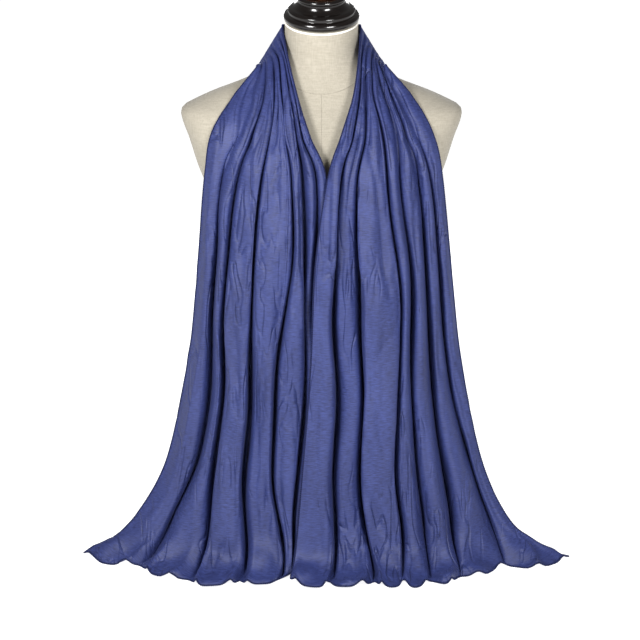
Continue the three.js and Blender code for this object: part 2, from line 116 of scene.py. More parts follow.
scarf = {
    "cut": (0.60, 1.80),  # metres
    "wall": 0.8,
    "clearForm": 1.2,
    "clearTable": 0.25,
    "rows": 285,
    "flatColumns": 12,  # in the gaps listed below, which hold the broad faces and both edges
    "sideColumns": 8,
    "measuredColumns": (10, 60, 110, 160),  # whose mean gives the cloth's length
    "flatGaps": (0, 5, 8, 9, 11, 12, 15, 16),
    "neckSideDepth": 0.05,  # folds flatten where the cloth turns round the neck
    "hipDeeper": 1.2,
    "hemRise": 4.0,  # how far the hem of a fold that stands forward is lifted
    "hemSunk": 22,  # depth at the foot from which a fold's hem stays down
    "hemFlat": 1.2,
    "cornerFrom": 310,  # x past which the two far corners lie flat
    "cornerOver": 60,
    "frontRows": [  # inner y and z, outer y and z, which way a fold sinks, bow of the face
        (4, 733, 10, 680, (0.81, 0, -0.58), 0),
        (-46, 702, -22, 682, (0.3, 0.6, -0.6), 0),
        (-90, 652, -50, 646, (0, 0.9, -0.3), 2),
        (-117, 600, -76, 600, (0, 1, 0), 2.2),
        (-138, 545, -78, 545, (0, 1, 0), 2.6),
        (-150, 430, -75, 430, (0, 1, 0), 3),
        (-151, 300, -72, 300, (0, 1, 0), 3),
        (-152, 150, -72, 150, (0, 1, 0), 3),
        (-153, 60, -72, 60, (0, 1, 0), 3),
        (-164, 21, -67, 21, (0, 0.5, -0.5), 3),
    ],
    # x of each fold line at the nine rows below the neck, x and y at the hem, and how deep it sinks
    # at the neck, on the chest, hanging and at the foot
    "leftFolds": [
        ([-88, -119, -148, -157, -167, -181, -212, -260, -303], (-338, -60), (0, 2, 2, 0)),
        ([-86, -109, -130, -145, -151, -164, -189, -230, -270], (-292, -110), (0, 0, 0, 2)),
        ([-83, -101, -113, -133, -139, -150, -168, -208, -238], (-254, -108), (6, 9, 34, 28)),
        ([-79, -87, -103, -121, -131, -141, -158, -181, -206], (-224, -166), (1, 1, 2, 2)),
        ([-76, -79, -95, -113, -124, -132, -146, -155, -166], (-180, -172), (4, 18, 36, 28)),
        ([-73, -74, -90, -107, -119, -127, -142, -150, -156], (-162, -208), (0, 1, 1, 1)),
        ([-69, -67, -77, -86, -95, -104, -111, -116, -118], (-126, -203), (0, 1, 1, 2)),
        ([-66, -66, -75, -84, -93, -99, -102, -104, -104], (-111, -176), (5, 24, 45, 34)),
        ([-64, -61, -66, -76, -85, -87, -86, -86, -88], (-97, -199), (1, 2, 3, 2)),
        ([-61, -58, -56, -49, -50, -67, -70, -62, -57], (-73, -199), (0, 2, 3, 3)),
        ([-58, -55, -53, -44, -43, -61, -64, -57, -52], (-58, -174), (13, 24, 44, 30)),
        ([-56, -51, -48, -37, -35, -53, -55, -51, -47], (-48, -168), (1, 2, 4, 8)),
        ([-53, -46, -40, -32, -27, -28, -33, -42, -43], (-43, -160), (1, 3, 6, 12)),
        ([-52, -44, -38, -29, -24, -23, -29, -39, -40], (-39, -153), (5, 22, 43, 30)),
        ([-50, -40, -32, -17, -15, -15, -22, -33, -36], (-35, -150), (1, 3, 12, 15)),
        ([-49, -38, -30, -9, -7, -9, -16, -28, -32], (-31, -146), (13, 22, 44, 30)),
        ([-48, -35, -24, -1, 1, -2, -9, -21, -27], (-26, -146), (2, 6, 13, 16)),
        ([-47, -32, -16, 6, 10, 6, -3, -15, -21], (-21, -145), (4, 8, 15, 18)),
    ],
    "rightFolds": [
        ([90, 123, 150, 163, 175, 190, 220, 259, 300], (351, -74), (0, 2, 2, 0)),
        ([88, 113, 141, 155, 167, 182, 213, 249, 284], (296, -124), (0, 0, 0, 2)),
        ([85, 106, 129, 145, 157, 171, 203, 236, 250], (253, -112), (4, 9, 30, 28)),
        ([82, 100, 121, 140, 150, 162, 182, 203, 216], (219, -164), (1, 1, 2, 2)),
        ([80, 94, 111, 129, 138, 147, 164, 180, 188], (190, -158), (13, 22, 44, 30)),
        ([77, 91, 107, 119, 129, 134, 149, 164, 166], (168, -199), (1, 1, 2, 2)),
        ([75, 87, 99, 106, 119, 120, 130, 143, 147], (149, -182), (5, 18, 36, 28)),
        ([72, 80, 90, 98, 112, 112, 114, 125, 128], (126, -213), (1, 1, 2, 2)),
        ([68, 70, 81, 89, 103, 101, 98, 109, 111], (110, -184), (13, 24, 45, 32)),
        ([66, 68, 79, 86, 100, 101, 96, 103, 105], (100, -213), (0, 1, 1, 2)),
        ([63, 64, 65, 54, 56, 57, 55, 64, 79], (86, -217), (0, 1, 1, 2)),
        ([60, 60, 59, 53, 55, 55, 53, 59, 71], (72, -180), (5, 22, 46, 32)),
        ([59, 57, 52, 43, 44, 45, 44, 48, 56], (52, -206), (1, 3, 13, 4)),
        ([57, 55, 47, 31, 27, 25, 26, 27, 27], (24, -211), (1, 3, 13, 4)),
        ([55, 52, 42, 27, 21, 18, 18, 21, 18], (11, -190), (12, 21, 43, 27)),
        ([53, 49, 38, 22, 16, 12, 11, 13, 10], (-2, -213), (1, 1, 1, 1)),
        ([52, 46, 33, 13, 1, -4, -13, -17, -19], (-20, -209), (0, 0, 0, 0)),
        ([51, 43, 26, 8, -8, -14, -25, -33, -38], (-42, -180), (1, 2, 2, 0)),
    ],
    "napeRows": [  # degrees from the viewer's left, lift, share of the folds' depth
        (25, 1, 0.05),
        (58, 4, 0.6),
        (90, 6, 1.0),
        (122, 4, 0.6),
        (155, 1, 0.05),
    ],
    "gapHalf": 0.8,  # half of the opening between two folds
    "gapUneven": 1.0,  # how far that opening closes and widens along a fold
    "wideGaps": {"left": {7: 2.8, 10: 3.0}, "right": {11: 2.6, 14: 2.2}},
    "corner": 3.4,  # how square a fold's front edge is
    "flatUneven": 0.35,  # how far that shape comes and goes along a fold
    "crestUneven": 6,  # how far a fold's face stands out or back along its length
    "crestLow": (20, 60),  # height where that starts, and over how much it comes in
    "crestHigh": (680, 80),
    "crestAtEdges": 0.15,  # share of it that the two long edges have
    "flatFace": 0.72,  # share of that square shape, the rest is a plain round fold
}

sectionTable = np.array(form["sections"], float)


def sectionAt(z, column):
    heights, values = sectionTable[:, 0], sectionTable[:, column]
    last = len(heights) - 1
    i = np.clip(np.searchsorted(heights, z, side="right") - 1, 0, last - 1)
    before, after = np.maximum(i - 1, 0), np.minimum(i + 2, last)
    step = heights[i + 1] - heights[i]
    t = np.clip((z - heights[i]) / step, 0, 1)
    slopeA = (values[i + 1] - values[before]) / (heights[i + 1] - heights[before]) * step
    slopeB = (values[after] - values[i]) / (heights[after] - heights[i]) * step
    h1 = 2 * t**3 - 3 * t**2 + 1
    h2 = t**3 - 2 * t**2 + t
    h3 = t**3 - t**2
    return values[i] * h1 + slopeA * h2 + slopeB * h3 + values[i + 1] * (1 - h1)


def formField(p):
    z = p[..., 2]
    x = np.abs(p[..., 0]) / sectionAt(z, 1)
    y = np.abs(p[..., 1] - sectionAt(z, 3)) / sectionAt(z, 2)
    n = sectionAt(z, 4)
    return np.maximum(x**n + y**n, 1e-9) ** (1 / n) - 1


def keepOff(p, clearance, rounds=3, nudge=0.5):
    for _ in range(rounds):
        value = formField(p)
        slope = np.stack([formField(p + d) - value for d in np.eye(3) * nudge], axis=-1) / nudge
        size = np.maximum(np.linalg.norm(slope, axis=-1), 1e-4)
        short = np.clip(clearance - value / size, 0, None)
        p = p + slope * (short / size)[..., None]
    p[..., 2] = np.maximum(p[..., 2], scarf["wall"] / 2 + scarf["clearTable"])
    return p


def meshPiece(name, points, faces, uvs=None):
    mesh = bpy.data.meshes.new(name)
    mesh.from_pydata((np.asarray(points) * mm).tolist(), [], faces)
    if uvs is not None:
        layer = mesh.uv_layers.new(name="cloth")
        loops = np.empty(len(mesh.loops), np.int32)
        mesh.loops.foreach_get("vertex_index", loops)
        layer.data.foreach_set("uv", np.asarray(uvs, np.float32)[loops].ravel())
    mesh.validate()
    mesh.update()
    mesh.polygons.foreach_set("use_smooth", [True] * len(mesh.polygons))
    return addObject(name, mesh)


def gridFaces(rowCount, columnCount, offset=0, flip=False, ring=False):
    faces = []
    for r in range(rowCount - 1):
        here, above = r * columnCount, (r + 1) * columnCount
        for c in range(columnCount if ring else columnCount - 1):
            n = (c + 1) % columnCount
            quad = [here + c, here + n, above + n, above + c]
            faces.append([offset + k for k in (quad[::-1] if flip else quad)])
    return faces


def smoothNoise(x, y, seed, size=64):
    table = np.random.default_rng(seed).uniform(-1, 1, (size, size))
    xi, yi = np.floor(x).astype(int), np.floor(y).astype(int)
    fx, fy = x - xi, y - yi
    fx, fy = fx * fx * (3 - 2 * fx), fy * fy * (3 - 2 * fy)
    a, b = table[xi % size, yi % size], table[(xi + 1) % size, yi % size]
    c, d = table[xi % size, (yi + 1) % size], table[(xi + 1) % size, (yi + 1) % size]
    return (a * (1 - fx) + b * fx) * (1 - fy) + (c * (1 - fx) + d * fx) * fy


band = {  # the cloth gathered round the neck
    "off": 3.5,  # from the neck to its inner edge
    "wide": 35,  # from its inner to its outer edge, seen from above
    "napeNarrower": 8,
    "top": 733,
    "drop": 53,  # how much lower its outer edge lies
    "middle": 7,  # y of the round that it follows
    "sinkIn": 0.81,  # its folds sink towards the neck and down
    "sinkDown": 0.58,
    "turn": (60, 60),  # degrees where the left folds' depths start to give way to the right ones', and over
    "deepFrom": 3,
    "deepWidth": 1.25,  # share of the band's width beside a deep fold, and beside the others
    "plainWidth": 0.7,
}


# places of the fold lines across the band, 1 at its outer edge and 0 at its inner one
def bandRank(folds):
    deep = [max(a[2][0], b[2][0]) > band["deepFrom"] for a, b in zip(folds[1:], folds[:-1])]
    widths = [band["deepWidth"] if isDeep else band["plainWidth"] for isDeep in deep]
    return 1 - np.concatenate([[0], np.cumsum(widths)]) / sum(widths)


def depthAt(fold, row):
    neck, chest, hang, foot = fold[2]
    low = hang * scarf["hipDeeper"]
    side = neck * scarf["neckSideDepth"]
    stops = (side, neck, (neck + chest) / 2, chest, (3 * chest + hang) / 4, hang, low, low, hang, foot)
    return stops[row]


def frontPoint(folds, ranks, index, row, side):
    fold = folds[index]
    innerY, innerZ, outerY, outerZ, sink, bow = scarf["frontRows"][row]
    rank = ranks[index]
    x = side * (form["neckRadius"] + band["off"] + band["wide"] * rank) if row == 0 else fold[0][row - 1]
    reach = abs(folds[0][0][max(0, row - 1)])
    along = rank if bow == 0 else min(1, max(0, side * x / reach)) ** bow
    depth = depthAt(fold, row)
    return (
        x - side * sink[0] * depth,
        innerY + (outerY - innerY) * along + sink[1] * depth,
        innerZ + (outerZ - innerZ) * along + sink[2] * depth,
    )


def hemPoint(fold):
    x, y = fold[1]
    inside = min(1, max(0, (scarf["cornerFrom"] - abs(x)) / scarf["cornerOver"]))
    forward = 1 - min(1, fold[2][3] / scarf["hemSunk"])
    return (x, y, scarf["hemFlat"] + scarf["hemRise"] * forward * inside)


# how far the left folds' depths have given way to the right ones' at an angle round the nape
def napeTurn(angle):
    start, over = band["turn"]
    turn = min(1, max(0, (angle - start) / over))
    return turn * turn * (3 - 2 * turn)


def napePoint(index, ranks, row):
    angle, lift, depthShare = scarf["napeRows"][row]
    rank = ranks[index]
    left, right = scarf["leftFolds"][index][2][0], scarf["rightFolds"][index][2][0]
    depth = (left + (right - left) * napeTurn(angle)) * depthShare
    a = math.radians(180 - angle)
    wide = band["wide"] - band["napeNarrower"] * math.sin(a)
    radius = form["neckRadius"] + band["off"] + wide * rank - band["sinkIn"] * depth
    z = band["top"] + lift - band["drop"] * rank - band["sinkDown"] * depth
    return (radius * math.cos(a), band["middle"] + radius * math.sin(a), z)


def foldLines():
    left, right = scarf["leftFolds"], scarf["rightFolds"]
    leftRanks, rightRanks = bandRank(left), bandRank(right)
    rows = len(scarf["frontRows"])
    lines, depths, gaps = [], [], []
    for i in range(len(left)):
        points = [hemPoint(left[i])]
        points += [frontPoint(left, leftRanks, i, row, -1) for row in reversed(range(rows))]
        points += [napePoint(i, leftRanks, row) for row in range(len(scarf["napeRows"]))]
        points += [frontPoint(right, rightRanks, i, row, 1) for row in range(rows)]
        points.append(hemPoint(right[i]))
        lines.append(points)
        leftDepths = [depthAt(left[i], row) for row in range(rows)]
        rightDepths = [depthAt(right[i], row) for row in range(rows)]
        ends = np.array([left[i][2][0], right[i][2][0]])
        turns = [napeTurn(row[0]) for row in scarf["napeRows"]]
        nape = [(ends @ (1 - turn, turn)) * row[2] for turn, row in zip(turns, scarf["napeRows"])]
        depths.append([0] + leftDepths[::-1] + nape + rightDepths + [0])
        wide = [scarf["wideGaps"][side].get(i, scarf["gapHalf"]) for side in ("left", "right")]
        half = len(points) // 2
        gaps.append([wide[0]] * half + [wide[1]] * (len(points) - half))
    return np.array(lines, float), np.array(depths, float), np.array(gaps, float)


# which way folds sink, for each of the rows that foldLines gives
def sinkWays():
    ways = [(0, 0.5, -0.5)]
    ways += [(row[4][0], row[4][1], row[4][2]) for row in reversed(scarf["frontRows"])]
    for angle, _, _ in scarf["napeRows"]:
        a = math.radians(180 - angle)
        ways.append((-band["sinkIn"] * math.cos(a), -band["sinkIn"] * math.sin(a), -band["sinkDown"]))
    ways += [(-row[4][0], row[4][1], row[4][2]) for row in scarf["frontRows"]]
    ways.append((0, 0.5, -0.5))
    return np.array(ways, float)


def easedAt(lines, at):
    last = lines.shape[1] - 1
    i = np.clip(np.floor(at).astype(int), 0, last - 1)
    t = (at - i)[None, :, None]
    p, q, r, s = [lines[:, np.clip(i + k, 0, last)] for k in (-1, 0, 1, 2)]
    bend = 2 * p - 5 * q + 4 * r - s
    return 0.5 * (2 * q + (r - p) * t + bend * t**2 + (3 * q - p - 3 * r + s) * t**3)


# places of the cloth's columns, counted in fold lines
def columnStops():
    last = len(scarf["leftFolds"]) - 1
    stops = []
    for i in range(last):
        count = scarf["flatColumns"] if i in scarf["flatGaps"] else scarf["sideColumns"]
        t = np.arange(count) / count
        stops.extend(i + t)
    return np.array(stops + [last + 0.0])


def roundedThrough(knots, stops):
    first, last = 2 * knots[0] - knots[1], 2 * knots[-1] - knots[-2]
    run = np.concatenate([first[None], knots, last[None]])
    steps = np.maximum(np.linalg.norm(np.diff(run, axis=0), axis=-1), 1e-4) ** 0.5
    out = []
    for stop in stops:
        i = min(int(stop), len(knots) - 2)
        t = stop - i
        p0, p1, p2, p3 = run[i : i + 4]
        d0, d1, d2 = [steps[i + k][:, None] for k in range(3)]
        t1 = ((p1 - p0) / d0 - (p2 - p0) / (d0 + d1) + (p2 - p1) / d1) * d1
        t2 = ((p2 - p1) / d1 - (p3 - p1) / (d1 + d2) + (p3 - p2) / d2) * d1
        h1, h2 = 2 * t**3 - 3 * t**2 + 1, t**3 - 2 * t**2 + t
        h3 = t**3 - t**2
        out.append(p1 * h1 + t1 * h2 + p2 * (1 - h1) + t2 * h3)
    return np.array(out).transpose(1, 0, 2)


foldShape = {
    "samples": 400,
    "wide": 12,  # a usual fold, to space its columns by
    "deep": 40,
    "spread": (0, 0.07, 0.13, 0.17, 0.21, 0.28, 0.46, 0.73, 1),  # where even steps fall on its outline
    "gapMost": 0.3,  # the most of a fold's face that its opening takes
    "faceFrom": 4,  # depth where the flat face starts to show, and over how much it comes in
    "faceOver": 8,
}


# A fold's cross-section: its face stays flat nearly to the edge, then turns in sharply.
def foldedThrough(knots, stops, depth, gap, flat, ways):
    samples, spread = foldShape["samples"], foldShape["spread"]
    theta = np.linspace(0, math.pi / 2, samples)
    flatShare = np.sin(theta) ** (2 / scarf["corner"])
    deepShare = 1 - np.cos(theta) ** (2 / scarf["corner"])
    acrossStep = np.diff(flatShare, prepend=0) * foldShape["wide"]
    inwardStep = np.diff(deepShare, prepend=0) * foldShape["deep"]
    run = np.cumsum(np.hypot(acrossStep, inwardStep))
    run /= run[-1]
    even = np.arange(samples + 1) / samples
    steps = np.interp(even, np.arange(len(spread)) / (len(spread) - 1), spread)
    out = roundedThrough(knots, stops)
    for c, stop in enumerate(stops):
        i = min(int(stop), len(knots) - 2)
        t = stop - i
        drop = depth[i + 1] - depth[i]
        for sign in (1, -1):
            s = t if sign > 0 else 1 - t
            at = np.interp(s, even, steps)
            u, v = np.interp(at, run, flatShare), np.interp(at, run, deepShare)
            crest, valley = (i, i + 1) if sign > 0 else (i + 1, i)
            fall = np.maximum(sign * drop, 0)[:, None] * ways
            level = knots[valley] - fall - knots[crest]
            wide = np.maximum(np.linalg.norm(level, axis=-1), 1e-3)
            keep = 1 - np.minimum(foldShape["gapMost"], gap[valley] / wide)
            shaped = knots[crest] + level * (u * keep)[:, None] + fall * v
            share = np.clip((sign * drop - foldShape["faceFrom"]) / foldShape["faceOver"], 0, 1)
            share = (flat[valley] * share * share * (3 - 2 * share))[:, None]
            out[:, c] = out[:, c] * (1 - share) + shaped * share
    return out


# places of the cloth's rows, evenly spaced along the mean of a few fold lines
def rowPlaces(lines, fineness=2000, measured=(1, 5, 10, 16)):
    fine = np.linspace(0, lines.shape[1] - 1, fineness)
    middle = easedAt(lines, fine)[list(measured)].mean(axis=0)
    run = np.concatenate([[0], np.cumsum(np.linalg.norm(np.diff(middle, axis=0), axis=-1))])
    return np.interp(np.linspace(0, run[-1], scarf["rows"]), run, fine)


def alongRows(values, places):
    return np.array([np.interp(places, np.arange(values.shape[1]), line) for line in values])


def depthGrid(byRow, stops):
    return np.array([np.interp(stops, np.arange(len(byRow)), byRow[:, r]) for r in range(byRow.shape[1])])


def rowNormals(rows):
    along, across = np.gradient(rows, axis=0), np.gradient(rows, axis=1)
    normal = np.cross(across, along)
    return normal / np.maximum(np.linalg.norm(normal, axis=-1, keepdims=True), 1e-9)


# Where the line of sight through a place in the photo meets the front of the cloth, as x and z.
def fromPhoto(across, down):
    tilt = math.radians(view["elevation"])
    back = np.array([0, -math.cos(tilt), math.sin(tilt)])
    up = np.array([0, math.sin(tilt), math.cos(tilt)])
    eye = np.array(view["target"]) + back * view["distance"]
    middle = view["pixels"] / 2
    ahead = back * view["distance"] / view["mmPerPixel"]
    sight = np.array([across - middle, 0, 0]) - up * (down - middle) - ahead
    frontY, frontZ = np.array([row[:2] for row in reversed(scarf["frontRows"])], float).T
    z = 300.0  # a first guess
    for _ in range(60):  # settles where the line and the front agree
        far = (np.interp(z, frontZ, frontY) - eye[1]) / sight[1]
        z = 0.5 * (z + eye[2] + far * sight[2])
    return eye[0] + far * sight[0], z


# Creases read off the photo: places across and down in its frame of 640 pixels, from the top down,
# then how deep (a ridge is negative) and half width in millimetres.
seenCreases = {
    "underCollarLeft": ([(269, 96), (265, 117), (261, 133), (255, 148)], 5.0, 3.0),
    "broadLeftEdge": ([(267, 92), (254, 116), (246, 136), (240, 152), (234, 170), (231, 180)], 4.0, 3.0),
    "sideSoft": ([(253, 84), (250, 92), (242, 118), (237, 146)], 3.0, 6.0),
    "darkHole": ([(274, 88), (275, 108), (274, 132), (272, 148)], 8.0, 4.0),
    "innerBandLeft": ([(287, 85), (292, 94), (300, 110), (307, 128)], 3.0, 2.6),
    "outerRidgeLeft": ([(219, 228), (210, 290), (202, 345), (190, 415), (184, 445)], -2.5, 2.5),
    "crinkleLeft": ([(216, 196), (213, 230), (211, 240), (200, 250)], 3.0, 2.4),
    "middleLow": ([(294, 305), (299, 320)], 3.0, 2.6),
    "floorLine": ([(364, 93), (360, 131), (356, 157), (350, 182), (346, 225), (345, 235)], 4.0, 2.6),
    "broadStartLine": (
        [(366, 100), (368, 142), (373, 163), (378, 198), (383, 240), (387, 280), (389, 296)],
        4.5,
        3.0,
    ),
    "nearBroad": ([(388, 180), (390, 195), (388, 210)], 2.5, 2.4),
    "longLine": ([(391, 130), (395, 140), (400, 150)], 4.0, 2.6),
    "collarBlack": ([(400, 98), (404, 108), (412, 125)], 6.0, 3.0),
    "chestSoft": ([(413, 184), (418, 199), (420, 217)], 2.5, 4.5),
    "sidePull": ([(430, 220), (434, 252), (435, 273)], 2.2, 3.0),
    "sidePullLow": ([(443, 260), (449, 270), (453, 288)], 2.0, 3.0),
    "waistPull": ([(394, 333), (386, 343), (380, 353), (377, 363)], 2.5, 3.0),
    "hipPull": ([(374, 360), (373, 400), (380, 430), (386, 457)], 2.4, 4.0),
    "lowPull": ([(362, 438), (370, 455), (372, 478)], 2.4, 3.5),
    "outerPull": ([(453, 384), (460, 400), (472, 428)], 2.4, 3.5),
    "outerPullLow": ([(446, 420), (455, 440), (459, 455)], 2.0, 3.0),
    "innerPull": ([(342, 380), (339, 405), (337, 440), (339, 480)], 2.4, 4.0),
    "innerThin": ([(317, 400), (317, 440), (317, 480)], 1.8, 3.0),
    "footDiagonal": ([(363, 490), (378, 520), (395, 550)], 3.5, 5.0),
}

# Smaller ones placed on the cloth itself: points x, z from the top down, depth and half width.
creases = {
    "shoulderPull": ([(-95, 640), (-107, 600), (-116, 566)], 2.2, 3.5),
    "softBroadOne": ([(-66, 570), (-62, 520), (-72, 470)], 2.0, 6.0),
    "pullOne": ([(-118, 400), (-108, 381)], -1.6, 1.7),
    "pullTwo": ([(-128, 350), (-116, 290)], -1.5, 1.7),
    "pullThree": ([(-134, 291), (-126, 252)], -1.6, 1.8),
    "pullFour": ([(-108, 336), (-104, 318)], -1.5, 1.6),
    "pullFive": ([(-84, 402), (-74, 378)], 2.4, 1.8),
    "pullSix": ([(-68, 438), (-60, 404)], 2.0, 1.8),
    "pullSeven": ([(-37, 438), (-28, 408)], 2.0, 1.8),
    "pullEight": ([(-35, 370), (-42, 352), (-51, 343)], -1.8, 1.8),
    "pullNine": ([(-19, 337), (-36, 318)], -1.6, 1.8),
    "pullTen": ([(-85, 305), (-83, 286)], -1.6, 1.7),
    "pullEleven": ([(-122, 298), (-112, 262)], 1.8, 1.8),
    "pullTwelve": ([(-92, 310), (-87, 273)], -1.7, 1.7),
    "pullThirteen": ([(143, 395), (159, 347)], -2.0, 1.9),
    "pullFourteen": ([(98, 359), (84, 340), (76, 318)], -2.0, 1.9),
    "pullFifteen": ([(33, 302), (22, 250)], -1.8, 1.9),
    "pullSixteen": ([(138, 308), (168, 257)], -1.9, 1.9),
    "pullSeventeen": ([(178, 291), (196, 243)], -1.8, 1.9),
    "pullEighteen": ([(54, 222), (66, 204)], -1.7, 1.8),
    "pullNineteen": ([(77, 237), (84, 204)], -1.7, 1.8),
    "pullTwenty": ([(109, 235), (118, 204)], -1.7, 1.8),
    "pullTwentyOne": ([(125, 268), (131, 240)], 1.9, 1.8),
    "pullTwentyTwo": ([(167, 240), (179, 218)], -1.8, 1.8),
    "pullTwentyThree": ([(190, 246), (204, 226)], -1.7, 1.8),
    "footLeft": ([(-60, 120), (-72, 80), (-80, 40)], 2.5, 5.0),
    "footLeftOuter": ([(-190, 150), (-205, 100), (-228, 50)], 2.5, 5.0),
}

bandDeeper = 1.6  # the gathered cloth beside the neck is the most crushed
bandCreases = {
    "bandLeftOne": ([(-64, 666), (-63, 640), (-64, 632)], 3.2, 1.6),
    "bandLeftTwo": ([(-80, 645), (-83, 630)], 2.4, 1.5),
    "bandLeftThree": ([(-72, 625), (-86, 562)], 2.6, 1.9),
    "bandLeftFour": ([(-52, 633), (-41, 562)], -2.4, 1.9),
    "bandLeftFive": ([(-43, 676), (-32, 630), (-9, 569)], 2.8, 1.8),
    "bandLeftSix": ([(-41, 645), (-32, 569)], 2.4, 1.8),
    "bandLeftSeven": ([(-44, 698), (-24, 622)], 2.2, 1.7),
    "bandLeftEight": ([(-86, 648), (-109, 569)], 3.4, 2.2),
    "bandRightOne": ([(74, 692), (91, 650)], 2.2, 1.9),
    "bandRightTwo": ([(68, 700), (80, 660)], 2.2, 1.8),
    "bandRightThree": ([(43, 636), (36, 600)], 2.8, 1.8),
    "bandRightFour": ([(48, 608), (49, 584)], 2.6, 1.8),
    "bandRightFive": ([(58, 645), (61, 622)], 2.4, 1.7),
    "bandRightSix": ([(86, 608), (94, 559)], 2.8, 2.0),
    "bandRightSeven": ([(101, 618), (109, 594)], 2.6, 1.9),
    "bandRightEight": ([(115, 622), (126, 577)], 2.6, 2.0),
}


scattered = {
    "count": 150,
    "seed": 12,
    "heights": (60, 520),
    "reach": 150,  # half width of where they lie at the top, and how fast it widens downwards
    "widening": 0.2,
    "tall": (16, 42),
    "lean": 0.28,
    "deep": (1.0, 2.0),
    "wide": (1.7, 3.0),
}


# small pulls between them, scattered the same way each time
def smallPulls():
    chance = np.random.default_rng(scattered["seed"])
    pulls = []
    for _ in range(scattered["count"]):
        z = chance.uniform(*scattered["heights"])
        reach = scattered["reach"] + (scattered["heights"][1] - z) * scattered["widening"]
        x = chance.uniform(-reach, reach)
        tall = chance.uniform(*scattered["tall"])
        lean = chance.normal(0, scattered["lean"])
        points = [(x, z + tall / 2), (x + lean * tall, z - tall / 2)]
        deep = chance.choice((-1, 1)) * chance.uniform(*scattered["deep"])
        wide = chance.uniform(*scattered["wide"])
        pulls.append((points, deep, wide))
    return pulls


def allCreases():
    made = []
    for seenAt, deep, wide in seenCreases.values():
        made.append(([fromPhoto(*place) for place in seenAt], deep, wide))
    made += list(creases.values())
    made += [(points, deep * bandDeeper, wide) for points, deep, wide in bandCreases.values()]
    return made + smallPulls()


creasePast = 14  # how far a crease runs past its end points
creaseFade = 22  # over how much it fades out there


def creaseDepth(rows):
    x, z = rows[..., 0], rows[..., 2]
    total = np.zeros_like(x)
    for points, deep, wide in allCreases():
        px, pz = np.array(points, float).T[:, ::-1]
        lean = (px[-1] - px[0]) / (pz[-1] - pz[0])
        across = (x - np.interp(z, pz, px)) / math.sqrt(1 + lean * lean)
        fromFoot = np.clip((z - pz[0] + creasePast) / creaseFade, 0, 1)
        run = fromFoot * np.clip((pz[-1] + creasePast - z) / creaseFade, 0, 1)
        total += deep * np.exp(-((across / wide) ** 2)) * run * run * (3 - 2 * run)
    return total


# unevenness laid over the folds: how strong it is, how tall and wide its swells are, and where they start
unevenness = {
    "sway": {"size": 5.0, "tall": 120, "wide": 48, "start": (20, 20), "seed": 3},
    "dents": {"size": 3.2, "tall": 74, "wide": 27, "start": (9, 9), "seed": 5},
    "softFolds": {"size": 3.2, "tall": 150, "wide": 9, "start": (15, 21), "seed": 6},
    "crinkle": {"size": 0.8, "tall": 36, "wide": 9, "start": (5, 31), "seed": 8},
}

looseness = {
    "low": (12, 40),  # height where cloth starts to hang loosely, and over how much that comes in
    "high": (700, 60),
    "edgeColumns": 26,  # the cut edges hang straighter, over this many columns
    "edgeLeast": 0.12,
    "crestDepth": (3, 9),  # depth down to which cloth counts as a fold's crest, and over how much that ends
    "valley": 0.3,  # share of the unevenness in the valleys, and what the crests have on top of that
    "crestMore": 0.7,
    "facing": (0.15, 0.35),  # how squarely cloth faces the front where creases start to show
    "frontY": (-20, 30),  # y in front of which they show, and over how much that comes in
}


def swells(name, x, z):
    kind = unevenness[name]
    up, across = kind["start"]
    return smoothNoise(z / kind["tall"] + up, x / kind["wide"] + across, kind["seed"])


def livelier(rows, depth):
    x, y, z = [rows[..., k].copy() for k in range(3)]
    (lowest, lowOver), (highest, highOver) = looseness["low"], looseness["high"]
    (facingFrom, facingOver), (frontFrom, frontOver) = looseness["facing"], looseness["frontY"]
    crestTo, crestOver = looseness["crestDepth"]
    hang = np.clip((z - lowest) / lowOver, 0, 1) * np.clip((highest - z) / highOver, 0, 1)
    rows = rows.copy()
    column = np.arange(rows.shape[1])
    fromEdge = np.minimum(column, column[::-1]) / looseness["edgeColumns"]
    inner = np.clip(fromEdge, looseness["edgeLeast"], 1)[None]
    rows[..., 0] += unevenness["sway"]["size"] * hang * inner * swells("sway", x, z)
    normal = rowNormals(rows)
    front = np.clip((-normal[..., 1] - facingFrom) / facingOver, 0, 1)
    front = front * np.clip((frontFrom - y) / frontOver, 0, 1)
    crest = np.clip(1 - (depth - crestTo) / crestOver, 0, 1)
    push = 0
    for name in ("dents", "softFolds", "crinkle"):
        push = push + unevenness[name]["size"] * swells(name, x, z) * hang
    push = push * inner * (looseness["valley"] + looseness["crestMore"] * crest)
    push = push - creaseDepth(rows) * front * crest * np.minimum(1, inner * 2)
    outward = normal * np.where(normal[..., 1:2] < 0, 1, -1)
    return rows + outward * push[..., None]


hem = {
    "ripple": 10.0,  # height of the notches where the rolled edge lifts off the table
    "wave": 58,  # from notch to notch
    "narrow": 3.5,  # power that keeps the notches short and the arcs between them long and flat
    "swing": 3.0,  # how far the waves bring the edge forward and back on the table
    "drift": (2.4, 55),  # how far the notches stray from even spacing, and over what length
    "uneven": (0.65, 0.35, 70),  # their usual height, how much it varies, and over what length
    "reach": 52,  # how far up the cloth they run
    "low": (60, 40),  # height above which nothing of this is left, and over how much it comes in
    "lump": 8.0,  # height of the soft lumps where the cloth turns forward on the table
    "lumpSize": (19, 30),
    "lumpLeast": -0.3,  # share of the height that the hollows between them sink
    "lumpFrom": 10,  # how far from the rolled edge they start, and how far up the cloth they run
    "lumpReach": 60,
    "lumpAbove": 1.6,  # cloth lower than this lies on the table and isn't lifted
    "lumpForward": 0.8,  # share of the height that they also come forward
    "curl": 2,  # lift of the cloth's two outer corners, and how far they are pulled out
    "curlOut": 5,
    "curlReach": 26,
    "roll": 1.15,  # radius of the rolled edge
    "rollOff": 0.6,  # from the table
    "stitch": {"spacing": 3.0, "thread": 0.28, "lean": 24, "clear": 0.2},
}


